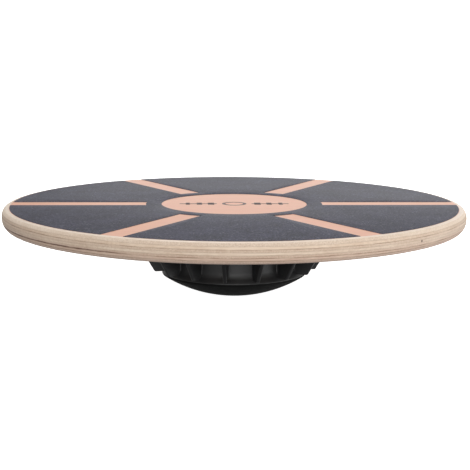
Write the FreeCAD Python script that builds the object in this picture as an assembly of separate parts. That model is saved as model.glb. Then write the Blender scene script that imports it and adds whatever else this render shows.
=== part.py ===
"""Round wobble board: a plywood deck with a die-cut grip sheet on top and a finned rocker base screwed underneath.

The base is one moulding in four sub-parts that meet face to face: its cup, its flange, its fins and its inner ribs.

Units are millimetres. +Z is up, the origin is the middle of the rocker's foot, on the floor, and +X runs along
one pair of the straight windows in the grip sheet. Every sub-part goes to parts/NAME.step.
"""

import FreeCAD
import Part
import math
import os

# ---- driving dimensions -------------------------------------------------------------------------------------

# Deck: nine veneers glued crosswise, listed from the top face to the back face.
DECK_DIAMETER = 395.0
VENEERS = (
    ("veneer_1_face", 0.5),
    ("veneer_2_cross", 2.5),
    ("veneer_3_long", 2.2),
    ("veneer_4_cross", 2.1),
    ("veneer_5_core", 2.0),
    ("veneer_6_cross", 2.1),
    ("veneer_7_long", 2.2),
    ("veneer_8_cross", 2.5),
    ("veneer_9_back", 0.5),
)
# The rim is rounded by a quarter ellipse above and another below, with a short upright band between them.
NOSE_TOP_REACH = 4.4
NOSE_TOP_DROP = 6.6
NOSE_BOTTOM_REACH = 6.4
NOSE_BOTTOM_RISE = 8.8

# Grip sheet: a disc of abrasive sheet with a round window in the middle and straight windows open at its rim.
GRIP_THICKNESS = 0.7
GRIP_MARGIN = 6.6
CENTRE_WINDOW_DIAMETER = 125.0
WINDOW_GAP = 13.3
WINDOW_WIDTH = 20.0
WINDOW_COUNT = 6

# Rocker base.
BASE_HEIGHT = 61.5
ROCKER_RADIUS = 114.0
FOOT_DIAMETER = 18.0
RIM_DIAMETER = 124.6
PAD_THICKNESS = 4.0
PAD_EDGE = 1.0
PAD_EDGE_ROUND = 0.9
SEAM_GAP = 0.5
SEAM_DEPTH = 1.2
RIM_BAND = 0.4
FLARE_RISE = 5.4
WALL_DIAMETER = 118.0
WALL_TAPER = 1.0
WALL_THICKNESS = 3.5
FLOOR_THICKNESS = 4.0
FLANGE_DIAMETER = 186.0
FLANGE_THICKNESS = 4.0
FLANGE_ROUND = 1.5

FIN_COUNT = 16
FIN_FOOT_RISE = 2.4
FIN_FOOT_REACH = 11.5
FIN_LIP = 1.5
FIN_FOOT_WIDTH = 2.8
FIN_ROOT_WIDTH = 3.8
FIN_ROUND = 0.9
BASE_TURN = -8.0

RIB_COUNT = 8
RIB_WIDTH = 2.5
HUB_DIAMETER = 24.0
HUB_BORE = 16.0

STUD_COUNT = 4
STUD_CIRCLE = 72.0
STUD_DIAMETER = 6.0
STUD_HOLE_CLEARANCE = 0.1
STUD_HEAD_DIAMETER = 9.0
STUD_HEAD_HEIGHT = 2.5

# Pan-head wood screws with washers, one in every second gap between fins.
SCREW_COUNT = 8
SCREW_DIAMETER = 4.0
SCREW_CORE = 2.8
SCREW_PITCH = 1.8
SCREW_LENGTH = 16.0
SCREW_TIP = 3.0
SCREW_HEAD_DIAMETER = 8.0
SCREW_HEAD_HEIGHT = 2.8
SCREW_HOLE_CLEARANCE = 0.2
PILOT_CLEARANCE = 0.05
DRIVE_SPAN = 4.4
DRIVE_WIDTH = 1.1
DRIVE_DEPTH = 1.8
WASHER_DIAMETER = 10.0
WASHER_THICKNESS = 0.8

# ---- worked out ---------------------------------------------------------------------------------------------

DECK_RADIUS = DECK_DIAMETER / 2
DECK_THICKNESS = sum(thickness for name, thickness in VENEERS)
DECK_BOTTOM = BASE_HEIGHT
DECK_TOP = DECK_BOTTOM + DECK_THICKNESS
UPPER_DROP = min(NOSE_TOP_DROP, 0.42 * DECK_THICKNESS)
LOWER_RISE = min(NOSE_BOTTOM_RISE, 0.54 * DECK_THICKNESS)
GRIP_RADIUS = DECK_RADIUS - GRIP_MARGIN
CENTRE_WINDOW_RADIUS = CENTRE_WINDOW_DIAMETER / 2
WINDOW_START = CENTRE_WINDOW_RADIUS + WINDOW_GAP

RIM_RADIUS = RIM_DIAMETER / 2
WALL_RADIUS = WALL_DIAMETER / 2
FLANGE_RADIUS = FLANGE_DIAMETER / 2
FOOT_RADIUS = FOOT_DIAMETER / 2
ROCKER_CENTRE_Z = math.sqrt(ROCKER_RADIUS**2 - FOOT_RADIUS**2)
RIM_Z = ROCKER_CENTRE_Z - math.sqrt(ROCKER_RADIUS**2 - RIM_RADIUS**2)
SEAM_Z = RIM_Z + PAD_EDGE
SEAT_EDGE_RADIUS = RIM_RADIUS - SEAM_DEPTH
SEAT_SAG = SEAM_Z - PAD_THICKNESS
SEAT_RADIUS = (SEAT_EDGE_RADIUS**2 + SEAT_SAG**2) / (2 * SEAT_SAG)
SEAT_CENTRE_Z = PAD_THICKNESS + SEAT_RADIUS
RIM_TOP_Z = SEAM_Z + SEAM_GAP + RIM_BAND
FLARE_TOP_Z = RIM_TOP_Z + FLARE_RISE
FIN_FOOT_Z = RIM_TOP_Z + FIN_FOOT_RISE
FLANGE_BOTTOM = BASE_HEIGHT - FLANGE_THICKNESS
WALL_TOP_RADIUS = WALL_RADIUS - WALL_TAPER
SCREW_CIRCLE_RADIUS = (WALL_TOP_RADIUS + FLANGE_RADIUS) / 2
SCREW_HEAD_Z = FLANGE_BOTTOM - WASHER_THICKNESS

AXIS = FreeCAD.Vector(0, 0, 1)
ORIGIN = FreeCAD.Vector(0, 0, 0)


# ---- helpers ------------------------------------------------------------------------------------------------


def at(radius, z):
    """A point of a profile in the XZ plane."""
    return FreeCAD.Vector(radius, 0, z)


def line(start, end):
    """A straight edge."""
    return Part.makeLine(start, end)


def sphere_arc(radius, centre_z, r_start, r_end):
    """The lower arc of a circle about (0, centre_z) in the XZ plane, from r_start to r_end."""

    def point(r):
        return at(r, centre_z - math.sqrt(radius**2 - r**2))

    return Part.Arc(point(r_start), point((r_start + r_end) / 2), point(r_end)).toShape()


def quarter_ellipse(centre, reach, rise, start_deg, end_deg):
    """An arc of an ellipse in the XZ plane about centre, with half-axes reach along X and rise along Z."""
    tall = rise > reach
    major, minor = max(reach, rise), min(reach, rise)
    curve = Part.Ellipse(ORIGIN, major, minor)
    # The curve is drawn in XY with its long axis on X, then stood up into XZ, and turned if it is taller than wide.
    turn = 90 if tall else 0
    arc = Part.ArcOfEllipse(curve, math.radians(start_deg - turn), math.radians(end_deg - turn)).toShape()
    arc.rotate(ORIGIN, FreeCAD.Vector(0, 0, 1), turn)
    arc.rotate(ORIGIN, FreeCAD.Vector(1, 0, 0), 90)
    arc.translate(centre)
    return arc


def revolve(edges):
    """The solid of a closed profile turned once about Z."""
    wire = Part.Wire(Part.__sortEdges__(edges))
    return solid_of(Part.Face(wire).revolve(ORIGIN, AXIS, 360))


def solid_of(shape):
    """The one solid in a shape, facing outwards."""
    solid = shape.Solids[0] if shape.Solids else Part.Solid(shape)
    if solid.Volume < 0:
        solid.reverse()
    return solid


def cylinder(radius, bottom, top, centre=ORIGIN):
    """An upright cylinder between two heights."""
    base = FreeCAD.Vector(centre.x, centre.y, bottom)
    return Part.makeCylinder(radius, top - bottom, base, AXIS)


def bar(length, width, bottom, top, start=0.0):
    """A box along +X from start, centred on the X axis in width."""
    return Part.makeBox(length, width, top - bottom, FreeCAD.Vector(start, -width / 2, bottom))


def turned(shape, degrees):
    """A copy turned about Z."""
    copy = shape.copy()
    copy.rotate(ORIGIN, AXIS, degrees)
    return copy


def ring_of(shape, count, first_deg=0.0):
    """Copies of a shape spaced evenly about Z."""
    return [turned(shape, first_deg + 360.0 * i / count) for i in range(count)]


def cleaned(shape):
    """The shape with split faces merged."""
    return shape.removeSplitter()


def export(name, solids):
    """Writes one sub-part, made of one or more solids."""
    shape = solids[0] if len(solids) == 1 else Part.makeCompound(solids)
    if not shape.isValid():
        raise ValueError(name + " is not a valid shape")
    shape.exportStep(os.path.join("parts", name + ".step"))
    box = shape.BoundBox
    print("%-18s %2d solid(s)  %9.0f mm3  %6.1f x %6.1f x %5.1f" % (
        name, len(shape.Solids), shape.Volume, box.XLength, box.YLength, box.ZLength))


# ---- fasteners ----------------------------------------------------------------------------------------------


def screw_angles():
    """Where the screws stand: midway between two fins, evenly spaced."""
    first = BASE_TURN + 180.0 / FIN_COUNT
    return [first + 360.0 * i / SCREW_COUNT for i in range(SCREW_COUNT)]


def wood_screw():
    """One screw on the +X axis, head down, its thread drawn as a stack of ridges."""
    major, core = SCREW_DIAMETER / 2, SCREW_CORE / 2
    neck_top = SCREW_HEAD_Z + WASHER_THICKNESS + FLANGE_THICKNESS
    tip_start = SCREW_HEAD_Z + SCREW_LENGTH - SCREW_TIP
    turns = int((tip_start - neck_top) // SCREW_PITCH)
    points = [at(0, SCREW_HEAD_Z), at(major, SCREW_HEAD_Z), at(major, neck_top)]
    for i in range(turns):
        z = neck_top + i * SCREW_PITCH
        points += [at(core, z + 0.3 * SCREW_PITCH), at(core, z + 0.7 * SCREW_PITCH), at(major, z + SCREW_PITCH)]
    points += [at(core, tip_start + 0.3 * SCREW_PITCH), at(0, SCREW_HEAD_Z + SCREW_LENGTH)]
    shank = revolve([line(a, b) for a, b in zip(points, points[1:] + points[:1])])

    head_radius = SCREW_HEAD_DIAMETER / 2
    head_bottom = SCREW_HEAD_Z - SCREW_HEAD_HEIGHT
    crown = Part.Arc(at(0, head_bottom), at(0.72 * head_radius, head_bottom + 0.28 * SCREW_HEAD_HEIGHT),
                     at(head_radius, head_bottom + 0.75 * SCREW_HEAD_HEIGHT)).toShape()
    edges = [crown, line(at(head_radius, head_bottom + 0.75 * SCREW_HEAD_HEIGHT), at(head_radius, SCREW_HEAD_Z)),
             line(at(head_radius, SCREW_HEAD_Z), at(0, SCREW_HEAD_Z)), line(at(0, SCREW_HEAD_Z), at(0, head_bottom))]
    head = revolve(edges)
    slot = bar(DRIVE_SPAN, DRIVE_WIDTH, head_bottom, head_bottom + DRIVE_DEPTH, -DRIVE_SPAN / 2)
    head = head.cut([slot, turned(slot, 90)])
    screw = solid_of(cleaned(head.fuse(shank)))
    screw.translate(FreeCAD.Vector(SCREW_CIRCLE_RADIUS, 0, 0))
    return screw


def washer():
    """One washer on the +X axis."""
    centre = FreeCAD.Vector(SCREW_CIRCLE_RADIUS, 0, 0)
    disc = cylinder(WASHER_DIAMETER / 2, SCREW_HEAD_Z, FLANGE_BOTTOM, centre)
    return disc.cut(cylinder(SCREW_DIAMETER / 2 + SCREW_HOLE_CLEARANCE, SCREW_HEAD_Z, FLANGE_BOTTOM, centre))


def screw_holes(clearance, bottom, top):
    """Plain holes for the screws, clearance wider than the thread."""
    centre = FreeCAD.Vector(SCREW_CIRCLE_RADIUS, 0, 0)
    hole = cylinder(SCREW_DIAMETER / 2 + clearance, bottom, top, centre)
    return [turned(hole, angle) for angle in screw_angles()]


# ---- deck ---------------------------------------------------------------------------------------------------


def deck_blank():
    """The whole deck as one turned disc with its rounded rim."""
    top_inner, bottom_inner = DECK_RADIUS - NOSE_TOP_REACH, DECK_RADIUS - NOSE_BOTTOM_REACH
    band_top, band_bottom = DECK_TOP - UPPER_DROP, DECK_BOTTOM + LOWER_RISE
    return revolve([
        line(at(0, DECK_BOTTOM), at(bottom_inner, DECK_BOTTOM)),
        quarter_ellipse(at(bottom_inner, band_bottom), NOSE_BOTTOM_REACH, LOWER_RISE, -90, 0),
        line(at(DECK_RADIUS, band_bottom), at(DECK_RADIUS, band_top)),
        quarter_ellipse(at(top_inner, band_top), NOSE_TOP_REACH, UPPER_DROP, 0, 90),
        line(at(top_inner, DECK_TOP), at(0, DECK_TOP)),
        line(at(0, DECK_TOP), at(0, DECK_BOTTOM)),
    ])


def veneers():
    """The deck blank sliced into its veneers, drilled as deep as the screws reach."""
    blank = deck_blank()
    drilled_to = SCREW_HEAD_Z + SCREW_LENGTH
    holes = screw_holes(PILOT_CLEARANCE, DECK_BOTTOM, drilled_to)
    top = DECK_TOP
    found = []
    for name, thickness in VENEERS:
        sheet = blank.common(cylinder(DECK_RADIUS + 1, top - thickness, top))
        if top - thickness < drilled_to:
            sheet = sheet.cut(holes)
        found.append((name, solid_of(sheet)))
        top -= thickness
    return found


def grip_sheet():
    """The abrasive sheet on the deck, with its windows cut through."""
    bottom, top = DECK_TOP, DECK_TOP + GRIP_THICKNESS
    window = bar(DECK_RADIUS, WINDOW_WIDTH, bottom, top).cut(cylinder(WINDOW_START, bottom, top))
    cuts = ring_of(window, WINDOW_COUNT) + [cylinder(CENTRE_WINDOW_RADIUS, bottom, top)]
    return solid_of(cylinder(GRIP_RADIUS, bottom, top).cut(cuts))


# ---- rocker base --------------------------------------------------------------------------------------------


def rocker_pad():
    """The grained tread that meets the floor: a shallow dome with a small flat foot, held by snap studs."""
    pad = revolve([
        line(at(0, 0), at(FOOT_RADIUS, 0)),
        sphere_arc(ROCKER_RADIUS, ROCKER_CENTRE_Z, FOOT_RADIUS, RIM_RADIUS),
        line(at(RIM_RADIUS, RIM_Z), at(RIM_RADIUS, SEAM_Z)),
        line(at(RIM_RADIUS, SEAM_Z), at(SEAT_EDGE_RADIUS, SEAM_Z)),
        sphere_arc(SEAT_RADIUS, SEAT_CENTRE_Z, SEAT_EDGE_RADIUS, 0),
        line(at(0, PAD_THICKNESS), at(0, 0)),
    ])
    shoulder = [e for e in pad.Edges if on_circle(e, RIM_RADIUS, RIM_Z)]
    pad = pad.makeFillet(PAD_EDGE_ROUND, shoulder)
    return solid_of(cleaned(pad.fuse(ring_of(stud(), STUD_COUNT, stud_turn()))))


def on_circle(edge, radius, z):
    """Whether an edge is the circle of that radius about Z at that height."""
    if edge.Degenerated:
        return False
    curve = edge.Curve
    return isinstance(curve, Part.Circle) and abs(curve.Radius - radius) < 1e-6 and abs(curve.Center.z - z) < 1e-6


def stud_turn():
    """Studs stand midway between two inner ribs."""
    return BASE_TURN + 180.0 / RIB_COUNT


def stud_seat_z(radius, inner):
    """The height of the floor's underside, or of its inner face, over a circle of that radius."""
    sphere = SEAT_RADIUS - (FLOOR_THICKNESS if inner else 0)
    return SEAT_CENTRE_Z - math.sqrt(sphere**2 - radius**2)


def stud():
    """One snap stud of the pad on the +X axis: a shank through the floor and a wider head inside."""
    circle = STUD_CIRCLE / 2
    centre = FreeCAD.Vector(circle, 0, 0)
    tread_z = ROCKER_CENTRE_Z - math.sqrt(ROCKER_RADIUS**2 - (circle + STUD_DIAMETER / 2)**2)
    foot = (tread_z + stud_seat_z(circle - STUD_DIAMETER / 2, False)) / 2
    head = stud_seat_z(circle + STUD_HEAD_DIAMETER / 2, True)
    shank = cylinder(STUD_DIAMETER / 2, foot, head, centre)
    knob = Part.makeCone(STUD_HEAD_DIAMETER / 2, STUD_DIAMETER / 2, STUD_HEAD_HEIGHT,
                         FreeCAD.Vector(circle, 0, head), AXIS)
    return shank.fuse(knob)


def cup_outline():
    """The outside of the cup from the underside of its floor to its top, closed through the axis."""
    return [
        sphere_arc(SEAT_RADIUS, SEAT_CENTRE_Z, 0, SEAT_EDGE_RADIUS),
        line(at(SEAT_EDGE_RADIUS, SEAM_Z), at(SEAT_EDGE_RADIUS, SEAM_Z + SEAM_GAP)),
        line(at(SEAT_EDGE_RADIUS, SEAM_Z + SEAM_GAP), at(RIM_RADIUS, SEAM_Z + SEAM_GAP)),
        line(at(RIM_RADIUS, SEAM_Z + SEAM_GAP), at(RIM_RADIUS, RIM_TOP_Z)),
        line(at(RIM_RADIUS, RIM_TOP_Z), at(WALL_RADIUS, FLARE_TOP_Z)),
        line(at(WALL_RADIUS, FLARE_TOP_Z), at(WALL_TOP_RADIUS, FLANGE_BOTTOM)),
        line(at(WALL_TOP_RADIUS, FLANGE_BOTTOM), at(WALL_TOP_RADIUS, BASE_HEIGHT)),
        line(at(WALL_TOP_RADIUS, BASE_HEIGHT), at(0, BASE_HEIGHT)),
        line(at(0, BASE_HEIGHT), at(0, PAD_THICKNESS)),
    ]


def cup_hollow():
    """The space inside the wall and above the floor, open to the deck."""
    foot, top = WALL_RADIUS - WALL_THICKNESS, WALL_TOP_RADIUS - WALL_THICKNESS
    floor = SEAT_RADIUS - FLOOR_THICKNESS
    floor_edge_z = SEAT_CENTRE_Z - math.sqrt(floor**2 - foot**2)
    return revolve([
        sphere_arc(floor, SEAT_CENTRE_Z, 0, foot),
        line(at(foot, floor_edge_z), at(top, BASE_HEIGHT)),
        line(at(top, BASE_HEIGHT), at(0, BASE_HEIGHT)),
        line(at(0, BASE_HEIGHT), at(0, PAD_THICKNESS + FLOOR_THICKNESS)),
    ])


def base_cup():
    """The cup: domed floor with the stud holes, flared rim and upright wall."""
    stud_hole = cylinder(STUD_DIAMETER / 2 + STUD_HOLE_CLEARANCE, 0, FIN_FOOT_Z,
                         FreeCAD.Vector(STUD_CIRCLE / 2, 0, 0))
    cuts = [cup_hollow()] + ring_of(stud_hole, STUD_COUNT, stud_turn())
    return solid_of(revolve(cup_outline()).cut(cuts))


def base_flange():
    """The round plate that is screwed to the deck, with its outer lower edge rounded."""
    disc = cylinder(FLANGE_RADIUS, FLANGE_BOTTOM, BASE_HEIGHT)
    disc = disc.makeFillet(FLANGE_ROUND, [e for e in disc.Edges if on_circle(e, FLANGE_RADIUS, FLANGE_BOTTOM)])
    cuts = [cylinder(WALL_TOP_RADIUS, FLANGE_BOTTOM, BASE_HEIGHT)]
    cuts += screw_holes(SCREW_HOLE_CLEARANCE, FLANGE_BOTTOM, BASE_HEIGHT)
    return solid_of(disc.cut(cuts))


def fin():
    """One gusset on the +X axis, from the wall out to the flange, thinner at its foot, its outer edges rounded."""
    root = WALL_RADIUS - WALL_THICKNESS / 2
    foot_reach, top_reach = WALL_RADIUS + FIN_FOOT_REACH, FLANGE_RADIUS - FIN_LIP
    outline = [at(root, FIN_FOOT_Z), at(foot_reach, FIN_FOOT_Z), at(top_reach, FLANGE_BOTTOM),
               at(root, FLANGE_BOTTOM)]
    side = Part.Face(Part.makePolygon(outline + outline[:1]))
    side.translate(FreeCAD.Vector(0, -FIN_ROOT_WIDTH, 0))
    plate = side.extrude(FreeCAD.Vector(0, 2 * FIN_ROOT_WIDTH, 0))
    section = [FreeCAD.Vector(root, y, z) for y, z in (
        (-FIN_FOOT_WIDTH / 2, FIN_FOOT_Z), (FIN_FOOT_WIDTH / 2, FIN_FOOT_Z),
        (FIN_ROOT_WIDTH / 2, FLANGE_BOTTOM), (-FIN_ROOT_WIDTH / 2, FLANGE_BOTTOM))]
    wedge = Part.Face(Part.makePolygon(section + section[:1])).extrude(FreeCAD.Vector(FLANGE_RADIUS, 0, 0))
    blade = solid_of(plate.common(wedge))
    blade = blade.makeFillet(FIN_ROUND, [e for e in blade.Edges if is_fin_outer_edge(e, foot_reach, top_reach)])
    return solid_of(blade.cut(revolve(cup_outline())))


def is_fin_outer_edge(edge, foot_reach, top_reach):
    """Whether an edge of a fin runs along its slanting outer face, or round its foot at that face."""
    box = edge.BoundBox
    slanting = box.XMin > foot_reach - 1e-6 and box.XMax > top_reach - 1e-6 and box.ZMin < FIN_FOOT_Z + 1e-6
    crosswise = box.XMin > foot_reach - 1e-6 and box.ZMax < FIN_FOOT_Z + 1e-6
    return slanting or crosswise


def base_ribs():
    """The web inside the cup that carries the deck: radial ribs from a hub tube to the wall."""
    start, end = HUB_DIAMETER / 2 - 1, WALL_TOP_RADIUS
    rib = bar(end - start, RIB_WIDTH, 0, BASE_HEIGHT, start)
    hub = cylinder(HUB_DIAMETER / 2, 0, BASE_HEIGHT)
    web = hub.fuse(ring_of(rib, RIB_COUNT, BASE_TURN))
    return solid_of(web.common(cup_hollow()).cut(cylinder(HUB_BORE / 2, 0, BASE_HEIGHT)))


# ---- build --------------------------------------------------------------------------------------------------


def main():
    os.makedirs("parts", exist_ok=True)
    for name, sheet in veneers():
        export(name, [sheet])
    export("grip_sheet", [grip_sheet()])
    export("base_cup", [base_cup()])
    export("base_flange", [base_flange()])
    export("base_fins", ring_of(fin(), FIN_COUNT, BASE_TURN))
    export("base_ribs", [base_ribs()])
    export("rocker_pad", [rocker_pad()])
    export("deck_screws", [turned(wood_screw(), angle) for angle in screw_angles()])
    export("screw_washers", [turned(washer(), angle) for angle in screw_angles()])
    print("overall %.1f mm across, %.1f mm high" % (DECK_DIAMETER, DECK_TOP + GRIP_THICKNESS))


main()
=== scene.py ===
"""Looks of a round wobble board: plywood deck, die-cut grip sheet, finned base and rubber rocker pad.

Everything is in metres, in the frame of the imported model: origin on the floor under the rocker, +Z up, +X
along one pair of the straight windows in the grip sheet.
"""

import logging
import math
from dataclasses import dataclass
from enum import Enum
from typing import Any, Iterable, Optional, Sequence, Union

import bmesh
import bpy
from mathutils import Matrix, Vector


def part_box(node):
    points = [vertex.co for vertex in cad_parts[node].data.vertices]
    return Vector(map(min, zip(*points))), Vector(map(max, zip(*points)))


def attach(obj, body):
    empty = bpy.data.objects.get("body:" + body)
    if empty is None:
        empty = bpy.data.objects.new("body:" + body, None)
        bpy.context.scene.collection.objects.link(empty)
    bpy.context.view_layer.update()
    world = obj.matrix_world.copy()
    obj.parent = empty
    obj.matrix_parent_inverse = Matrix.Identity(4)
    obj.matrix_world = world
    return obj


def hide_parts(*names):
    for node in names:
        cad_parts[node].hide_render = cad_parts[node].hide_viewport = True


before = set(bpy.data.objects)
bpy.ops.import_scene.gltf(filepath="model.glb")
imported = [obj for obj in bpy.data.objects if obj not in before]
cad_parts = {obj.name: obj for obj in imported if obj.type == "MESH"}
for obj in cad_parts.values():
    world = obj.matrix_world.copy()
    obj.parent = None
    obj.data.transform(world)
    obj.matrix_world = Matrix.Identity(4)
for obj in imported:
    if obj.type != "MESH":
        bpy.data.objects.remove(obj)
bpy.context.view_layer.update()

LOG = logging.getLogger("wobble_board")
MM = 0.001
BODY = "root"
FINE_STEPS = 288
BOWL_STEPS = 12
SEAM = 1e-7
Point = tuple[float, float]
Socket = Union[float, tuple, str, bpy.types.NodeSocket]


# ---- small tools ---------------------------------------------------------------------------------


def linear(colour: str) -> tuple[float, float, float, float]:
    """Turns an sRGB hex colour into linear light.

    Args:
        colour: six hex digits after a hash sign.

    Returns:
        Red, green, blue and an alpha of 1.
    """
    parts = [int(colour[i:i + 2], 16) / 255.0 for i in (1, 3, 5)]
    light = [p / 12.92 if p <= 0.04045 else ((p + 0.055) / 1.055) ** 2.4 for p in parts]
    return (light[0], light[1], light[2], 1.0)


def per_metre(size_mm: float) -> float:
    """The texture scale at which one pattern cell is that many millimetres wide."""
    return 1.0 / (size_mm * MM)


def add_node(tree: bpy.types.NodeTree, kind: str, inputs: Optional[dict[Any, Socket]] = None,
             **settings: Any) -> bpy.types.Node:
    """Adds one node to a material.

    Args:
        tree: the node tree it goes into.
        kind: the node's type name.
        inputs: socket name or number to a plain value, or to an output socket that is linked to it.
        **settings: properties of the node itself.

    Returns:
        The new node.
    """
    node = tree.nodes.new(kind)
    for name, value in settings.items():
        setattr(node, name, value)
    for key, value in (inputs or {}).items():
        if isinstance(value, bpy.types.NodeSocket):
            tree.links.new(value, node.inputs[key])
        else:
            node.inputs[key].default_value = value
    return node


def blank_material(name: str) -> tuple[bpy.types.Material, bpy.types.NodeTree, bpy.types.Node]:
    """Starts a material.

    Args:
        name: the material's name.

    Returns:
        The material, its node tree and its Principled shader, already wired to the output.
    """
    material = bpy.data.materials.new(name)
    material.use_nodes = True
    tree = material.node_tree
    tree.nodes.clear()
    shader = add_node(tree, "ShaderNodeBsdfPrincipled")
    add_node(tree, "ShaderNodeOutputMaterial", {"Surface": shader.outputs[0]})
    return material, tree, shader


def two_tones(tree: bpy.types.NodeTree, factor: bpy.types.NodeSocket, low: str, high: str,
              start: float = 0.0, end: float = 1.0) -> bpy.types.NodeSocket:
    """Turns a grey pattern into a blend of two colours.

    Args:
        tree: the material's node tree.
        factor: the grey pattern.
        low: the hex colour where the pattern is at start.
        high: the hex colour where it is at end.
        start: pattern value of the low colour.
        end: pattern value of the high colour.

    Returns:
        The colour output.
    """
    ramp = add_node(tree, "ShaderNodeValToRGB", {"Fac": factor})
    first, last = ramp.color_ramp.elements
    first.position, first.color = start, linear(low)
    last.position, last.color = end, linear(high)
    return ramp.outputs["Color"]


def mixed(tree: bpy.types.NodeTree, factor: Socket, a: Socket, b: Socket,
          blend: str = "MIX") -> bpy.types.NodeSocket:
    """Mixes two colours.

    Args:
        tree: the material's node tree.
        factor: how much of b.
        a: first colour.
        b: second colour.
        blend: the mix node's blend type.

    Returns:
        The colour output.
    """
    node = add_node(tree, "ShaderNodeMix", {0: factor, 6: a, 7: b}, data_type="RGBA", blend_type=blend)
    return node.outputs[2]


def turned(profile: Sequence[Point], closed: bool = False, steps: int = FINE_STEPS) -> bmesh.types.BMesh:
    """Spins a profile once about Z.

    Args:
        profile: (radius, height) points in metres. A point of radius 0 closes the form on the axis.
        closed: whether the last point joins the first.
        steps: how many segments go round.

    Returns:
        A new closed mesh whose faces point outwards.
    """
    bm = bmesh.new()
    verts = [bm.verts.new((r, 0.0, z)) for r, z in profile]
    pairs = list(zip(verts, verts[1:])) + ([(verts[-1], verts[0])] if closed else [])
    edges = [bm.edges.new(pair) for pair in pairs]
    bmesh.ops.spin(bm, geom=verts + edges, cent=(0, 0, 0), axis=(0, 0, 1), angle=math.tau, steps=steps,
                   use_merge=True)
    bmesh.ops.remove_doubles(bm, verts=bm.verts, dist=SEAM)
    bmesh.ops.recalc_face_normals(bm, faces=bm.faces)
    return bm


def arc(centre: Point, reach: float, rise: float, start_deg: float, end_deg: float,
        count: int) -> list[Point]:
    """Points along an arc of an ellipse in the profile plane.

    Args:
        centre: (radius, height) of the ellipse's centre.
        reach: half-axis along the radius.
        rise: half-axis along the height.
        start_deg: first angle, from the outward direction towards up.
        end_deg: last angle.
        count: number of points, ends included.

    Returns:
        The points in order.
    """
    angles = [math.radians(start_deg + (end_deg - start_deg) * i / (count - 1)) for i in range(count)]
    return [(centre[0] + reach * math.cos(a), centre[1] + rise * math.sin(a)) for a in angles]


def bowl(centre: float, radius: float, reach: float) -> list[Point]:
    """Points up the lower half of a ball, from the axis outwards.

    Args:
        centre: the height of its centre.
        radius: its radius.
        reach: the radius at which the points end.

    Returns:
        The points in order.
    """
    spots = [reach * i / BOWL_STEPS for i in range(BOWL_STEPS + 1)]
    return [(r, centre - math.sqrt(radius**2 - r**2)) for r in spots]


def outward(tree: bpy.types.NodeTree, place: bpy.types.NodeSocket) -> bpy.types.NodeSocket:
    """The level direction from the axis to each point, one long."""
    level = add_node(tree, "ShaderNodeVectorMath", {0: place, 1: (1.0, 1.0, 0.0)}, operation="MULTIPLY")
    return add_node(tree, "ShaderNodeVectorMath", {0: level.outputs[0]}, operation="NORMALIZE").outputs[0]


def round_edges(bm: bmesh.types.BMesh, edges: Iterable[bmesh.types.BMEdge], radius: float,
                segments: int = 3) -> None:
    """Rounds edges of a mesh.

    Args:
        bm: the mesh.
        edges: the edges to round.
        radius: how far the rounding reaches, in metres.
        segments: how many faces make the round.
    """
    bmesh.ops.bevel(bm, geom=list(edges), offset=radius, segments=segments, profile=0.5, affect="EDGES",
                    material=-1, clamp_overlap=True)


def finished(name: str, bm: bmesh.types.BMesh, material: bpy.types.Material, replaced: Sequence[str] = (),
             crease_deg: float = 32.0) -> bpy.types.Object:
    """Turns a bmesh into a finished piece that rides on the board.

    Args:
        name: the piece's name.
        bm: its mesh in its place, which is freed.
        material: its finish.
        replaced: the CAD nodes it stands for.
        crease_deg: edges sharper than this stay crisp.

    Returns:
        The new object.
    """
    mesh = bpy.data.meshes.new(name)
    bm.to_mesh(mesh)
    bm.free()
    mesh.shade_smooth()
    mesh.set_sharp_from_angle(angle=math.radians(crease_deg))
    mesh.materials.append(material)
    piece = bpy.data.objects.new(name, mesh)
    bpy.context.scene.collection.objects.link(piece)
    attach(piece, BODY)
    if replaced:
        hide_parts(*replaced)
    LOG.info("%s: %d faces", name, len(mesh.polygons))
    return piece


def height_span(node: str) -> Point:
    """The lowest and highest Z of a CAD node."""
    low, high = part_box(node)
    return low.z, high.z


# ---- finishes ------------------------------------------------------------------------------------


class Grain(Enum):
    """Which way a veneer's fibres run, as the turn of its pattern about Z in degrees."""

    LONG = 0.0
    CROSS = 90.0


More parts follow.
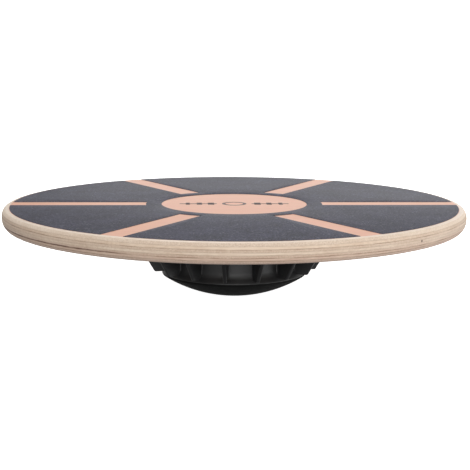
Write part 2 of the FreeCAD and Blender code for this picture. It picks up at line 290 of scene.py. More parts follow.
@dataclass(frozen=True)
class VeneerFinish:
    """Rotary-cut birch veneer, seen on the sanded and lacquered rim of the deck.

    Where the fibres run along the rim it shows fine streaks, and where they meet the rim it shows darker end
    grain with pores. Brown glue squeezes out at its faces, more in some places than in others.
    """

    name: str
    grain: Grain
    bottom: float
    top: float
    pale: str = "#e0cdb9"
    deep: str = "#c4ab95"
    end_grain: str = "#b39a86"
    glue: str = "#7d5b43"
    glue_below: float = 0.45
    glue_above: float = 0.45
    streak_deg: float = 0.0
    streak_half_deg: float = 0.0
    streak: float = 0.0
    streak_colour: str = "#4d2c22"
    knot: Optional[tuple[float, float, float]] = None
    knot_radius: float = 1.3 * MM
    knot_colour: str = "#4a3026"
    glue_reach: float = 0.55 * MM
    seed: float = 0.0

    def material(self) -> bpy.types.Material:
        """Builds the veneer's material."""
        material, tree, shader = blank_material(self.name)
        place = add_node(tree, "ShaderNodeTexCoord").outputs["Object"]
        turned_place = add_node(tree, "ShaderNodeMapping", {
            "Vector": place, "Rotation": (0.0, 0.0, math.radians(self.grain.value)),
            "Location": (self.seed, self.seed * 0.7, 0.0)}).outputs[0]
        # Fibres: 60 mm long and about 1.3 mm wide, drawn coarser than the real 0.5 mm so that they show.
        along = add_node(tree, "ShaderNodeVectorMath", {
            0: turned_place, 1: (per_metre(60), per_metre(1.3), per_metre(1.1))}, operation="MULTIPLY")
        fibres = add_node(tree, "ShaderNodeTexNoise", {
            "Vector": along.outputs[0], "Scale": 1.0, "Detail": 5.0, "Roughness": 0.62}).outputs["Fac"]
        # Broad growth bands: 25 mm patches of paler and deeper wood.
        bands = add_node(tree, "ShaderNodeTexNoise", {
            "Vector": turned_place, "Scale": per_metre(25), "Detail": 2.0}).outputs["Fac"]
        wood = two_tones(tree, fibres, self.deep, self.pale, 0.30, 0.66)
        wood = mixed(tree, 0.35, wood, two_tones(tree, bands, self.deep, self.pale, 0.35, 0.65))
        wood = self._with_end_grain(tree, place, wood)
        wood = self._with_glue(tree, place, wood)
        if self.knot:
            away = add_node(tree, "ShaderNodeVectorMath", {0: place, 1: self.knot}, operation="DISTANCE")
            dark = add_node(tree, "ShaderNodeMapRange", {
                "Value": away.outputs["Value"], 1: self.knot_radius * 0.5, 2: self.knot_radius,
                3: 0.85, 4: 0.0})
            wood = mixed(tree, dark.outputs[0], wood, linear(self.knot_colour))
        bump = add_node(tree, "ShaderNodeBump", {"Strength": 0.25, "Distance": 0.15 * MM, "Height": fibres})
        tree.links.new(wood, shader.inputs["Base Color"])
        tree.links.new(bump.outputs[0], shader.inputs["Normal"])
        shader.inputs["Roughness"].default_value = 0.55
        shader.inputs["Specular IOR Level"].default_value = 0.35
        return material

    def _with_end_grain(self, tree: bpy.types.NodeTree, place: bpy.types.NodeSocket,
                        wood: bpy.types.NodeSocket) -> bpy.types.NodeSocket:
        """Darkens the wood where the fibres come out of the rim.

        Args:
            tree: the material's node tree.
            place: object coordinates.
            wood: the colour so far.

        Returns:
            The new colour.
        """
        turn = math.radians(self.grain.value)
        fibre = (math.cos(turn), math.sin(turn), 0.0)
        facing = add_node(tree, "ShaderNodeVectorMath", {0: outward(tree, place), 1: fibre},
                          operation="DOT_PRODUCT").outputs["Value"]
        facing = add_node(tree, "ShaderNodeMath", {0: facing, 1: facing}, operation="MULTIPLY").outputs[0]
        # Pores: 0.9 mm cells, larger than the real 0.1 mm vessels so that they show.
        pores = add_node(tree, "ShaderNodeTexNoise", {
            "Vector": place, "Scale": per_metre(0.9), "Detail": 3.0}).outputs["Fac"]
        share = add_node(tree, "ShaderNodeMapRange", {"Value": pores, 1: 0.35, 2: 0.7, 3: 0.25, 4: 0.75})
        amount = add_node(tree, "ShaderNodeMath", {0: facing, 1: share.outputs[0]}, operation="MULTIPLY")
        return mixed(tree, amount.outputs[0], wood, linear(self.end_grain))

    def _with_glue(self, tree: bpy.types.NodeTree, place: bpy.types.NodeSocket,
                   wood: bpy.types.NodeSocket) -> bpy.types.NodeSocket:
        """Adds the brown glue lines at the veneer's two faces, and its dark heart streak.

        Args:
            tree: the material's node tree.
            place: object coordinates.
            wood: the colour so far.

        Returns:
            The new colour.
        """
        axes = add_node(tree, "ShaderNodeSeparateXYZ", {0: place})
        uneven = add_node(tree, "ShaderNodeTexNoise", {
            "Vector": add_node(tree, "ShaderNodeMapping", {
                "Vector": place, "Location": (self.seed * 3, 0.3, self.seed)}).outputs[0],
            "Scale": per_metre(17), "Detail": 4.0, "Roughness": 0.65}).outputs["Fac"]
        patchy = add_node(tree, "ShaderNodeMapRange", {"Value": uneven, 1: 0.38, 2: 0.66, 3: 0.15, 4: 1.0})
        for level, strength in ((self.bottom, self.glue_below), (self.top, self.glue_above)):
            away = add_node(tree, "ShaderNodeMath", {0: axes.outputs["Z"], 1: level}, operation="SUBTRACT")
            away = add_node(tree, "ShaderNodeMath", {0: away.outputs[0]}, operation="ABSOLUTE")
            line = add_node(tree, "ShaderNodeMapRange", {
                "Value": away.outputs[0], 1: 0.12 * MM, 2: self.glue_reach, 3: strength, 4: 0.0})
            line = add_node(tree, "ShaderNodeMath", {0: line.outputs[0], 1: patchy.outputs[0]},
                            operation="MULTIPLY")
            wood = mixed(tree, line.outputs[0], wood, linear(self.glue))
        if self.streak:
            wood = self._with_streak(tree, place, axes, uneven, wood)
        return wood

    def _with_streak(self, tree: bpy.types.NodeTree, place: bpy.types.NodeSocket, axes: bpy.types.Node,
                     uneven: bpy.types.NodeSocket, wood: bpy.types.NodeSocket) -> bpy.types.NodeSocket:
        """Adds a dark heartwood streak along part of the veneer's lower face.

        Args:
            tree: the material's node tree.
            place: object coordinates.
            axes: the node that splits them.
            uneven: the pattern that breaks the streak up.
            wood: the colour so far.

        Returns:
            The new colour.
        """
        turn = math.radians(self.streak_deg)
        facing = add_node(tree, "ShaderNodeVectorMath", {
            0: outward(tree, place), 1: (math.cos(turn), math.sin(turn), 0.0)}, operation="DOT_PRODUCT")
        edge = math.cos(math.radians(self.streak_half_deg))
        span = add_node(tree, "ShaderNodeMapRange", {
            "Value": facing.outputs["Value"], 1: edge - 0.02, 2: edge + 0.06, 3: 0.0, 4: self.streak})
        away = add_node(tree, "ShaderNodeMath", {0: axes.outputs["Z"], 1: self.bottom}, operation="SUBTRACT")
        near = add_node(tree, "ShaderNodeMapRange", {"Value": away.outputs[0], 1: 0.35 * MM, 2: 1.4 * MM,
                                                     3: 1.0, 4: 0.0})
        gaps = add_node(tree, "ShaderNodeMapRange", {"Value": uneven, 1: 0.30, 2: 0.52, 3: 0.35, 4: 1.0})
        amount = add_node(tree, "ShaderNodeMath", {0: span.outputs[0], 1: near.outputs[0]},
                          operation="MULTIPLY")
        amount = add_node(tree, "ShaderNodeMath", {0: amount.outputs[0], 1: gaps.outputs[0]},
                          operation="MULTIPLY")
        return mixed(tree, amount.outputs[0], wood, linear(self.streak_colour))


@dataclass(frozen=True)
class FaceVeneerFinish:
    """The deck's top veneer: peach-stained on its flat face, bare pale wood on its rounded edge."""

    stain_edge: float
    stain_pale: str = "#e4ad92"
    stain_deep: str = "#d69a7d"
    bare_pale: str = "#ecdccc"
    bare_deep: str = "#d8c2ad"

    def material(self) -> bpy.types.Material:
        """Builds the face veneer's material."""
        material, tree, shader = blank_material("stained_face_veneer")
        place = add_node(tree, "ShaderNodeTexCoord").outputs["Object"]
        # Straight fibres along X: 120 mm long, 1 mm wide.
        along = add_node(tree, "ShaderNodeVectorMath", {
            0: place, 1: (per_metre(120), per_metre(1.0), per_metre(1.0))}, operation="MULTIPLY")
        fibres = add_node(tree, "ShaderNodeTexNoise", {
            "Vector": along.outputs[0], "Scale": 1.0, "Detail": 4.0, "Roughness": 0.6}).outputs["Fac"]
        # Figure: soft bands, 14 mm wide and 200 mm long.
        broad = add_node(tree, "ShaderNodeVectorMath", {
            0: place, 1: (per_metre(200), per_metre(14), per_metre(14))}, operation="MULTIPLY")
        figure = add_node(tree, "ShaderNodeTexNoise", {
            "Vector": broad.outputs[0], "Scale": 1.0, "Detail": 3.0, "Distortion": 0.6}).outputs["Fac"]
        stained = two_tones(tree, fibres, self.stain_deep, self.stain_pale, 0.22, 0.60)
        figured = two_tones(tree, figure, self.stain_deep, self.stain_pale, 0.3, 0.7)
        stained = mixed(tree, 0.30, stained, figured)
        bare = two_tones(tree, fibres, self.bare_deep, self.bare_pale, 0.25, 0.62)
        flat = add_node(tree, "ShaderNodeVectorMath", {0: place, 1: (1.0, 1.0, 0.0)}, operation="MULTIPLY")
        radius = add_node(tree, "ShaderNodeVectorMath", {0: flat.outputs[0]}, operation="LENGTH")
        outside = add_node(tree, "ShaderNodeMapRange", {
            "Value": radius.outputs["Value"], 1: self.stain_edge - 0.3 * MM, 2: self.stain_edge + 0.3 * MM,
            3: 0.0, 4: 1.0})
        colour = mixed(tree, outside.outputs[0], stained, bare)
        bump = add_node(tree, "ShaderNodeBump", {"Strength": 0.12, "Distance": 0.1 * MM, "Height": fibres})
        tree.links.new(colour, shader.inputs["Base Color"])
        tree.links.new(bump.outputs[0], shader.inputs["Normal"])
        shader.inputs["Roughness"].default_value = 0.42
        shader.inputs["Specular IOR Level"].default_value = 0.4
        return material


@dataclass(frozen=True)
class GritFinish:
    """Silicon carbide grit in resin on a film: blue-grey, matt, with glints off scattered grains painted into
    its colour.
    """

    dark: str = "#171724"
    light: str = "#4c4c62"
    # Colour of the painted glints off grain facets.
    painted_glint_colour: str = "#8b8b98"
    grain_mm: float = 1.2

    def material(self) -> bpy.types.Material:
        """Builds the abrasive's material. The real 0.25 mm grains are drawn at 1.2 mm so that they show."""
        material, tree, shader = blank_material("silicon_carbide_grit")
        place = add_node(tree, "ShaderNodeTexCoord").outputs["Object"]
        fine = add_node(tree, "ShaderNodeTexNoise", {
            "Vector": place, "Scale": per_metre(self.grain_mm), "Detail": 3.0,
            "Roughness": 0.7}).outputs["Fac"]
        colour = two_tones(tree, fine, self.dark, self.light, 0.40, 0.62)
        # Uneven coating: patches of about 22 mm.
        patches = add_node(tree, "ShaderNodeTexNoise", {
            "Vector": place, "Scale": per_metre(22), "Detail": 3.0}).outputs["Fac"]
        shade = two_tones(tree, patches, "#d2d2d2", "#ffffff", 0.35, 0.65)
        colour = mixed(tree, 1.0, colour, shade, "MULTIPLY")
        # Painted glints: one cell in fifteen is lightened as if a grain facet caught the light.
        cells = add_node(tree, "ShaderNodeTexVoronoi", {"Vector": place, "Scale": per_metre(1.1)})
        bright = add_node(tree, "ShaderNodeSeparateColor", {0: cells.outputs["Color"]})
        painted_glint_share = add_node(tree, "ShaderNodeMapRange", {"Value": bright.outputs[0], 1: 0.93, 2: 0.99, 3: 0.0,
                                                      4: 0.4})
        colour = mixed(tree, painted_glint_share.outputs[0], colour, linear(self.painted_glint_colour))
        bump = add_node(tree, "ShaderNodeBump", {"Strength": 0.3, "Distance": 0.15 * MM, "Height": fine})
        tree.links.new(colour, shader.inputs["Base Color"])
        tree.links.new(bump.outputs[0], shader.inputs["Normal"])
        shader.inputs["Roughness"].default_value = 0.58
        shader.inputs["Specular IOR Level"].default_value = 0.5
        return material


@dataclass(frozen=True)
class MouldedFinish:
    """Injection-moulded black ABS with a satin texture etched into the mould."""

    black: str = "#151516"
    worn: str = "#1d1d1e"

    def material(self) -> bpy.types.Material:
        """Builds the plastic's material."""
        material, tree, shader = blank_material("satin_black_abs")
        place = add_node(tree, "ShaderNodeTexCoord").outputs["Object"]
        # Etched texture: 0.6 mm, drawn coarser than the real 0.1 mm.
        etched = add_node(tree, "ShaderNodeTexNoise", {
            "Vector": place, "Scale": per_metre(0.6), "Detail": 2.0}).outputs["Fac"]
        # Handling marks: 20 mm patches a little paler and duller.
        handled = add_node(tree, "ShaderNodeTexNoise", {
            "Vector": place, "Scale": per_metre(20), "Detail": 4.0, "Roughness": 0.6}).outputs["Fac"]
        colour = two_tones(tree, handled, self.black, self.worn, 0.4, 0.75)
        gloss = add_node(tree, "ShaderNodeMapRange", {"Value": handled, 1: 0.3, 2: 0.75, 3: 0.4, 4: 0.5})
        bump = add_node(tree, "ShaderNodeBump", {"Strength": 0.12, "Distance": 0.08 * MM, "Height": etched})
        tree.links.new(colour, shader.inputs["Base Color"])
        tree.links.new(gloss.outputs[0], shader.inputs["Roughness"])
        tree.links.new(bump.outputs[0], shader.inputs["Normal"])
        shader.inputs["IOR"].default_value = 1.5
        return material


@dataclass(frozen=True)
class RubberFinish:
    """Moulded black rubber with a leather-like grain, dull and non-marking."""

    black: str = "#090909"
    dusty: str = "#101010"

    def material(self) -> bpy.types.Material:
        """Builds the rubber's material."""
        material, tree, shader = blank_material("grained_black_rubber")
        place = add_node(tree, "ShaderNodeTexCoord").outputs["Object"]
        # Grain: 1.2 mm pebbles with narrow valleys between them.
        pebbles = add_node(tree, "ShaderNodeTexVoronoi", {
            "Vector": place, "Scale": per_metre(1.2)}, feature="DISTANCE_TO_EDGE").outputs["Distance"]
        valleys = add_node(tree, "ShaderNodeMapRange", {"Value": pebbles, 1: 0.0, 2: 0.22, 3: 0.0, 4: 1.0})
        dust = add_node(tree, "ShaderNodeTexNoise", {
            "Vector": place, "Scale": per_metre(9), "Detail": 5.0, "Roughness": 0.65}).outputs["Fac"]
        colour = two_tones(tree, dust, self.black, self.dusty, 0.4, 0.7)
        bump = add_node(tree, "ShaderNodeBump", {
            "Strength": 0.4, "Distance": 0.15 * MM, "Height": valleys.outputs[0]})
        tree.links.new(colour, shader.inputs["Base Color"])
        tree.links.new(bump.outputs[0], shader.inputs["Normal"])
        shader.inputs["Roughness"].default_value = 0.75
        shader.inputs["Specular IOR Level"].default_value = 0.12
        return material


@dataclass(frozen=True)
class ZincFinish:
    """Bright zinc plating on steel screws and washers."""

    bright: str = "#c9ccce"
    dull: str = "#a2a6a9"

    def material(self) -> bpy.types.Material:
        """Builds the plating's material."""
        material, tree, shader = blank_material("zinc_plated_steel")
        place = add_node(tree, "ShaderNodeTexCoord").outputs["Object"]
        # Plating bloom: 3 mm spots of duller zinc.
        bloom = add_node(tree, "ShaderNodeTexNoise", {
            "Vector": place, "Scale": per_metre(3), "Detail": 4.0}).outputs["Fac"]
        colour = two_tones(tree, bloom, self.dull, self.bright, 0.35, 0.65)
        gloss = add_node(tree, "ShaderNodeMapRange", {"Value": bloom, 1: 0.3, 2: 0.7, 3: 0.38, 4: 0.24})
        tree.links.new(colour, shader.inputs["Base Color"])
        tree.links.new(gloss.outputs[0], shader.inputs["Roughness"])
        shader.inputs["Metallic"].default_value = 1.0
        return material


@dataclass(frozen=True)
class InkFinish:
    """Screen-printed dark brown ink, slightly worn so that the wood shows through its pinholes."""

    ink: str = "#4a3a35"
    thin: str = "#6f5b52"

    def material(self) -> bpy.types.Material:
        """Builds the ink's material."""
        material, tree, shader = blank_material("screen_print_ink")
        place = add_node(tree, "ShaderNodeTexCoord").outputs["Object"]
        # Ink cover: 1.5 mm specks where it is thin.
        cover = add_node(tree, "ShaderNodeTexNoise", {
            "Vector": place, "Scale": per_metre(1.5), "Detail": 3.0}).outputs["Fac"]
        tree.links.new(two_tones(tree, cover, self.ink, self.thin, 0.45, 0.75), shader.inputs["Base Color"])
        shader.inputs["Roughness"].default_value = 0.5
        return material


@dataclass(frozen=True)
class PaperFinish:
    """White backdrop paper, lit from behind so that no shadow shows on it."""

    paper: str = "#f4f4f4"
    glow: float = 0.96

    def material(self) -> bpy.types.Material:
        """Builds the paper's material."""
        material, tree, shader = blank_material("white_backdrop_paper")
        place = add_node(tree, "ShaderNodeTexCoord").outputs["Object"]
        # Paper fibre: 2 mm mottling, barely there.
        fibre = add_node(tree, "ShaderNodeTexNoise", {
            "Vector": place, "Scale": per_metre(2), "Detail": 2.0}).outputs["Fac"]
        tree.links.new(two_tones(tree, fibre, "#f1f1f1", self.paper, 0.3, 0.7), shader.inputs["Base Color"])
        shader.inputs["Roughness"].default_value = 0.9
        shader.inputs["Specular IOR Level"].default_value = 0.1
        shader.inputs["Emission Color"].default_value = (1.0, 1.0, 1.0, 1.0)
        shader.inputs["Emission Strength"].default_value = self.glow
        return material


# ---- sub-assemblies ------------------------------------------------------------------------------


@dataclass
class PlywoodDeck:
    """Nine veneers pressed crosswise, with one rounded rim turned through all of them."""

    nose_top_reach: float = 4.4 * MM
    nose_top_drop: float = 6.6 * MM
    nose_bottom_reach: float = 6.4 * MM
    nose_bottom_rise: float = 8.8 * MM
    arc_points: int = 15
    stain_margin: float = 0.7 * MM
    knot_at: tuple[float, float, float] = (137.2 * MM, -142.1 * MM, 69.8 * MM)

    def __post_init__(self) -> None:
        """Reads the deck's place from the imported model."""
        self.top = height_span("veneer_1_face")[1]
        self.bottom = height_span("veneer_9_back")[0]
        self.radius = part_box("veneer_5_core")[1].x

    def nose(self) -> list[Point]:
        """The rim's outline from the back face up to the top face."""
        low = arc((self.radius - self.nose_bottom_reach, self.bottom + self.nose_bottom_rise),
                  self.nose_bottom_reach, self.nose_bottom_rise, -90, 0, self.arc_points)
        high = arc((self.radius - self.nose_top_reach, self.top - self.nose_top_drop),
                   self.nose_top_reach, self.nose_top_drop, 0, 90, self.arc_points)
        return low + high

    def nose_radius(self, z: float) -> float:
        """The deck's radius at a height."""
        outline = self.nose()
        for (r0, z0), (r1, z1) in zip(outline, outline[1:]):
            if z0 <= z <= z1 and z1 > z0:
                return r0 + (r1 - r0) * (z - z0) / (z1 - z0)
        return outline[-1][0] if z > self.top - SEAM else outline[0][0]

    def profile(self, low: float, high: float) -> list[Point]:
        """Half of one veneer's section, from the axis below to the axis above.

        Args:
            low: the veneer's lower face.
            high: its upper face.

        Returns:
            The points to spin.
        """
        inside = [p for p in self.nose() if low + 0.02 * MM < p[1] < high - 0.02 * MM]
        return ([(0.0, low), (self.nose_radius(low), low)] + inside
                + [(self.nose_radius(high), high), (0.0, high)])

    def finishes(self) -> dict[str, VeneerFinish]:
        """The finish of each veneer below the face, by CAD node."""
        look = {
            "veneer_2_cross": (Grain.CROSS, {"pale": "#eadac8", "deep": "#d6c0aa", "glue_above": 0.0,
                                             "glue_below": 0.35, "seed": 0.11}),
            "veneer_3_long": (Grain.LONG, {"pale": "#e3d0bb", "deep": "#c8ae96", "glue_above": 0.35,
                                           "glue_below": 0.8, "seed": 0.23}),
            "veneer_4_cross": (Grain.CROSS, {"glue_above": 0.8, "glue_below": 0.35, "seed": 0.37}),
            "veneer_5_core": (Grain.LONG, {"pale": "#e0cfbb", "glue_above": 0.35, "glue_below": 0.4,
                                           "knot": self.knot_at, "seed": 0.41}),
            "veneer_6_cross": (Grain.CROSS, {"pale": "#dfcab7", "deep": "#c3a893", "glue_above": 0.4,
                                             "glue_below": 0.95, "streak_deg": -150.0,
                                             "streak_half_deg": 34.0, "streak": 0.95, "seed": 0.53}),
            "veneer_7_long": (Grain.LONG, {"pale": "#dcc5b2", "deep": "#bfa28f", "glue_above": 0.9,
                                           "glue_below": 0.75, "seed": 0.67}),
            "veneer_8_cross": (Grain.CROSS, {"pale": "#e6d0c0", "deep": "#ccb0a0", "glue_above": 0.75,
                                             "glue_below": 0.3, "seed": 0.79}),
            "veneer_9_back": (Grain.LONG, {"pale": "#e8d4c6", "deep": "#d2baaa", "glue_above": 0.3,
                                           "glue_below": 0.0, "seed": 0.83}),
        }
        found = {}
        for node, (grain, extra) in look.items():
            low, high = height_span(node)
            found[node] = VeneerFinish(name="birch_" + node, grain=grain, bottom=low, top=high, **extra)
        return found

    def build(self) -> None:
        """Makes the nine veneers."""
        low, high = height_span("veneer_1_face")
        stain_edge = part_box("grip_sheet")[1].x + self.stain_margin
        finished("face_veneer", turned(self.profile(low, high)), FaceVeneerFinish(stain_edge).material(),
                 ["veneer_1_face"])
        for node, finish in self.finishes().items():
            low, high = height_span(node)
            finished(node.replace("veneer", "birch_ply", 1), turned(self.profile(low, high)),
                     finish.material(), [node])


@dataclass
class GripSheet:
    """The die-cut abrasive sheet: six straight windows open at the rim and a round one in the middle.

    It is drawn at half the thickness of its CAD node, so that its lip hides less of the windows.
    """

    window_radius: float = 62.5 * MM
    bar_start: float = 75.8 * MM
    bar_width: float = 20.0 * MM
    bars: int = 6
    thickness: float = 0.35 * MM
    edge_round: float = 0.12 * MM

    def build(self) -> None:
        """Makes the sheet: a spun ring, cut along the bars, emptied there and given its thickness."""
        low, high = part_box("grip_sheet")
        radius = max(high.x, high.y)
        bm = turned([(self.window_radius, low.z), (self.bar_start, low.z), (radius, low.z)])
        for face in bm.faces:
            if face.normal.z < 0:
                face.normal_flip()
        for i in range(self.bars // 2):
            side = Matrix.Rotation(math.tau * i / self.bars, 3, "Z") @ Vector((0, 1, 0))
            for offset in (-self.bar_width / 2, self.bar_width / 2):
                bmesh.ops.bisect_plane(bm, geom=bm.verts[:] + bm.edges[:] + bm.faces[:], dist=SEAM,
                                       plane_co=side * offset, plane_no=side)
        windows = [f for f in bm.faces if self._in_window(f.calc_center_median())]
        bmesh.ops.delete(bm, geom=windows, context="FACES")
        raised = bmesh.ops.extrude_face_region(bm, geom=bm.faces[:], use_keep_orig=True)
        verts = [v for v in raised["geom"] if isinstance(v, bmesh.types.BMVert)]
        bmesh.ops.translate(bm, verts=verts, vec=(0, 0, self.thickness))
        bmesh.ops.recalc_face_normals(bm, faces=bm.faces)
        top = low.z + self.thickness
        rim = [e for e in bm.edges
               if e.calc_face_angle(0) > 1.2 and min(v.co.z for v in e.verts) > top - SEAM]
        round_edges(bm, rim, self.edge_round, 2)
        finished("grit_sheet", bm, GritFinish().material(), ["grip_sheet"])

    def _in_window(self, centre: Vector) -> bool:
        """Whether a point of the sheet lies in one of the straight windows."""
        if math.hypot(centre.x, centre.y) < self.bar_start:
            return False
        for i in range(self.bars):
            local = Matrix.Rotation(-math.tau * i / self.bars, 3, "Z") @ centre
            if local.x > 0 and abs(local.y) < self.bar_width / 2:
                return True
        return False


@dataclass
class LevelMark:
    """A plain printed sign in the middle window: a ring between two graduated lines."""

    ring_outer: float = 10.5 * MM
    ring_inner: float = 7.6 * MM
    line_near: float = 15.0 * MM
    line_far: float = 47.0 * MM
    line_width: float = 2.6 * MM
    tick_places: tuple[float, ...] = (20.0 * MM, 30.0 * MM, 40.0 * MM)
    tick_widths: tuple[float, ...] = (5.5 * MM, 4.5 * MM, 3.5 * MM)
    tick_length: float = 12.0 * MM
    thickness: float = 0.06 * MM

    def build(self) -> None:
        """Makes the sign as one thin layer of ink on the face veneer."""
        low = height_span("veneer_1_face")[1]
        high = low + self.thickness
        bm = turned([(self.ring_inner, low), (self.ring_outer, low), (self.ring_outer, high),
                     (self.ring_inner, high)], closed=True, steps=96)
        middle, length = (self.line_near + self.line_far) / 2, self.line_far - self.line_near
        for side in (-1, 1):
            self._stroke(bm, side * middle, length, self.line_width, low, high)
            for place, width in zip(self.tick_places, self.tick_widths):
                self._stroke(bm, side * place, width, self.tick_length, low, high)
        finished("level_mark", bm, InkFinish().material())

    def _stroke(self, bm: bmesh.types.BMesh, x: float, length: float, width: float, low: float,
                high: float) -> None:
        """Adds one straight stroke of the sign.

        Args:
            bm: the mesh it goes into.
            x: its middle along X.
            length: its size along X.
            width: its size along Y.
            low: its lower face.
            high: its upper face.
        """
        verts = bmesh.ops.create_cube(bm, size=1.0)["verts"]
        bmesh.ops.scale(bm, verts=verts, vec=(length, width, high - low))
        bmesh.ops.translate(bm, verts=verts, vec=(x, 0, (low + high) / 2))


@dataclass
class MouldedBase:
    """The black base: cup, flange and sixteen gusset fins, with ribs inside that carry the deck."""

    seat_edge: float = 61.1 * MM
    rim: float = 62.3 * MM
    rim_band: float = 0.4 * MM
    seam_gap: float = 0.5 * MM
    flare_rise: float = 5.4 * MM
    flare_hollow: float = 3.0 * MM
    wall: float = 59.0 * MM
    wall_top: float = 58.0 * MM
    wall_thickness: float = 3.5 * MM
    floor_thickness: float = 4.0 * MM
    flange_round: float = 1.5 * MM
    fins: int = 16
    fin_foot_rise: float = 2.4 * MM
    fin_foot_reach: float = 70.5 * MM
    fin_top_reach: float = 91.5 * MM
    fin_foot_width: float = 2.8 * MM
    fin_top_width: float = 3.8 * MM
    fin_round: float = 0.9 * MM
    root_fillet: float = 1.2 * MM
    shoulder_round: float = 0.35 * MM
    turn_deg: float = -8.0

    def __post_init__(self) -> None:
        """Reads the base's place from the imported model."""
        self.bottom, self.top = height_span("base_cup")
        self.foot = height_span("base_fins")[0]
        self.seam = self.foot - self.fin_foot_rise - self.rim_band - self.seam_gap
        self.flare_top = self.foot - self.fin_foot_rise + self.flare_rise
        self.flange_bottom = height_span("base_flange")[0]
        self.flange_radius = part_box("base_flange")[1].x

    def build(self) -> None:
        """Makes the three visible sub-parts and dresses the hidden ribs."""
        plastic = MouldedFinish().material()
        finished("moulded_cup", self.cup(), plastic, ["base_cup"], 40.0)
        finished("moulded_flange", self.flange(), plastic, ["base_flange"], 40.0)
        finished("moulded_fins", self.all_fins(), plastic, ["base_fins"], 40.0)
        dress("base_ribs", plastic)

    def cup(self) -> bmesh.types.BMesh:
        """The cup: domed floor, recessed seam, flared rim and wall."""
        sag = self.seam - self.bottom
        ball = (self.seat_edge**2 + sag**2) / (2 * sag)
        centre = self.bottom + ball
        under = bowl(centre, ball, self.seat_edge)
        floor = bowl(centre, ball - self.floor_thickness, self.wall - self.wall_thickness)[::-1]
        lip = self.seam + self.seam_gap
        bm = turned(under + [
            (self.seat_edge, lip), (self.rim, lip), (self.rim, lip + self.rim_band),
            (self.wall, self.flare_top), (self.wall_top, self.flange_bottom), (self.wall_top, self.top),
            (self.wall_top - self.wall_thickness, self.top)] + floor)
        shoulder = [e for e in bm.edges if self._on_ring(e, self.rim, lip + self.rim_band)]
        round_edges(bm, shoulder, self.shoulder_round)
        hollow = [e for e in bm.edges if self._on_ring(e, self.wall, self.flare_top)]
        round_edges(bm, hollow, self.flare_hollow, 7)
        return bm

    def flange(self) -> bmesh.types.BMesh:
        """The flange: a flat ring under the deck, rounded at its outer lower edge."""
        bm = turned([(self.wall_top, self.flange_bottom), (self.flange_radius, self.flange_bottom),
                     (self.flange_radius, self.top), (self.wall_top, self.top)], closed=True)
        round_edges(bm, [e for e in bm.edges if self._on_ring(e, self.flange_radius, self.flange_bottom)],
                    self.flange_round, 5)
        return bm

    def _on_ring(self, edge: bmesh.types.BMEdge, radius: float, z: float) -> bool:
        """Whether both ends of an edge lie on the circle of that radius and height."""
        return all(abs(math.hypot(v.co.x, v.co.y) - radius) < 10 * SEAM and abs(v.co.z - z) < 10 * SEAM
                   for v in edge.verts)

    def all_fins(self) -> bmesh.types.BMesh:
        """The fins: one gusset with a filleted root, repeated round the wall."""
        bm = self.fin()
        bmesh.ops.rotate(bm, verts=bm.verts, cent=(0, 0, 0),
                         matrix=Matrix.Rotation(math.radians(self.turn_deg), 3, "Z"))
        bmesh.ops.spin(bm, geom=bm.verts[:] + bm.edges[:] + bm.faces[:], cent=(0, 0, 0), axis=(0, 0, 1),
                       angle=math.tau * (self.fins - 1) / self.fins, steps=self.fins - 1, use_duplicate=True)
        bmesh.ops.recalc_face_normals(bm, faces=bm.faces)
        return bm

    def fin(self) -> bmesh.types.BMesh:
        """One gusset on +X: a strip of wall with the blade drawn out of its middle."""
        bm = bmesh.new()
        depth, spread = 1.6 * MM, self.fin_top_width + 2 * self.root_fillet + 0.8 * MM
        verts = bmesh.ops.create_cube(bm, size=1.0)["verts"]
        bmesh.ops.scale(bm, verts=verts, vec=(depth, spread, self.flange_bottom - self.foot))
        bmesh.ops.translate(bm, verts=verts, vec=(
            self.wall - depth / 2 - 0.08 * MM, 0, (self.flange_bottom + self.foot) / 2))
        upper = [v for v in bm.verts if v.co.z > self.flange_bottom - SEAM]
        bmesh.ops.translate(bm, verts=upper, vec=(self.wall_top - self.wall, 0, 0))
        lean = math.atan2((self.fin_top_width - self.fin_foot_width) / 2, self.flange_bottom - self.foot)
        for side in (-1, 1):
            plane = Vector((0, side * math.cos(lean), -math.sin(lean)))
            bmesh.ops.bisect_plane(bm, geom=bm.verts[:] + bm.edges[:] + bm.faces[:], dist=SEAM,
                                   plane_co=(0, side * self.fin_foot_width / 2, self.foot), plane_no=plane)
        middle = max((f for f in bm.faces if abs(f.calc_center_median().y) < SEAM and f.normal.x > 0.5),
                     key=lambda f: f.calc_center_median().x)
        drawn = bmesh.ops.extrude_face_region(bm, geom=[middle])
        tip = [v for v in drawn["geom"] if isinstance(v, bmesh.types.BMVert)]
        for vert in tip:
            vert.co.x = self.fin_foot_reach if vert.co.z < self.foot + SEAM else self.fin_top_reach
        bmesh.ops.delete(bm, geom=[f for f in bm.faces if f == middle and f.is_valid], context="FACES_ONLY")
        outer = [e for e in bm.edges if all(v in tip for v in e.verts)
                 and min(v.co.z for v in e.verts) < self.foot + SEAM]
        roots = [e for e in bm.edges if self._is_root(e)]
        round_edges(bm, roots, self.root_fillet, 4)
        round_edges(bm, [e for e in outer if e.is_valid], self.fin_round, 4)
        return bm

    def _is_root(self, edge: bmesh.types.BMEdge) -> bool:
        """Whether an edge is one of the two upright hollows between the blade and its strip of wall."""
        low, high = sorted(edge.verts, key=lambda v: v.co.z)
        upright = high.co.z - low.co.z > 0.9 * (self.flange_bottom - self.foot)
        front = low.co.x > self.wall - 0.2 * MM and low.co.x < self.wall + 0.1 * MM
        return upright and front and abs(low.co.y) < self.fin_foot_width / 2 + 0.1 * MM


